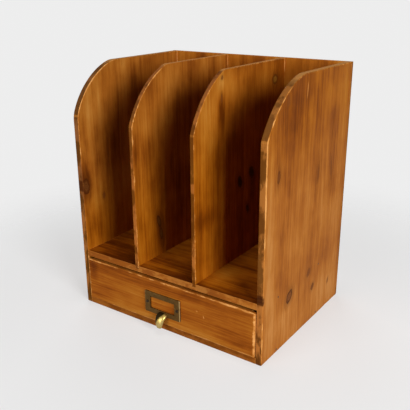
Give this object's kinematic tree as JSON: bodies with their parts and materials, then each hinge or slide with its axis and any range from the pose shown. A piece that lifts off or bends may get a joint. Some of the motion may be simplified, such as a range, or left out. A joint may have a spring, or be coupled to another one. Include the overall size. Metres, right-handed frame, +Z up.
{
  "type": "desktop file organizer",
  "caption": "Wooden desktop file organizer with open compartments between curved uprights, over a drawer with a brass label frame and finger pull.",
  "frame": {"origin": "on the table under the middle of the carcass, pull left out", "axes": "+Z up, +Y from the drawer's front to the back panel, +X to the right seen from the front"},
  "size_m": [0.302, 0.2438, 0.35],
  "materials": {
    "carcass_wood": "stained and waxed, worn pale on the edges",
    "drawer_wood": "stained and waxed, worn pale on the edges",
    "nail_steel": "dark, dull",
    "aged_brass": "aged, dark",
    "bright_brass": "polished by use",
    "screw_steel": "blackened"
  },
  "bodies": {
    "carcass": {"left_side": "carcass_wood", "right_side": "carcass_wood", "left_divider": "carcass_wood", "right_divider": "carcass_wood", "shelf": "carcass_wood", "bottom_panel": "carcass_wood", "back_panel": "carcass_wood", "left_side_nails": "nail_steel", "right_side_nails": "nail_steel", "divider_nails": "nail_steel", "back_panel_nails": "nail_steel"},
    "drawer": {"drawer_front": "drawer_wood", "drawer_left_side": "drawer_wood", "drawer_right_side": "drawer_wood", "drawer_back": "drawer_wood", "drawer_bottom": "drawer_wood", "drawer_front_nails": "nail_steel", "drawer_back_nails": "nail_steel", "drawer_bottom_nails": "nail_steel", "label_frame": "aged_brass", "finger_pull": "bright_brass", "label_screws": "screw_steel"}
  },
  "joints": [
    {"name": "drawer_slide", "type": "slide", "parent": "carcass", "child": "drawer", "axis": [0, -1, 0], "range_m": [0, 0.18]}
  ]
}
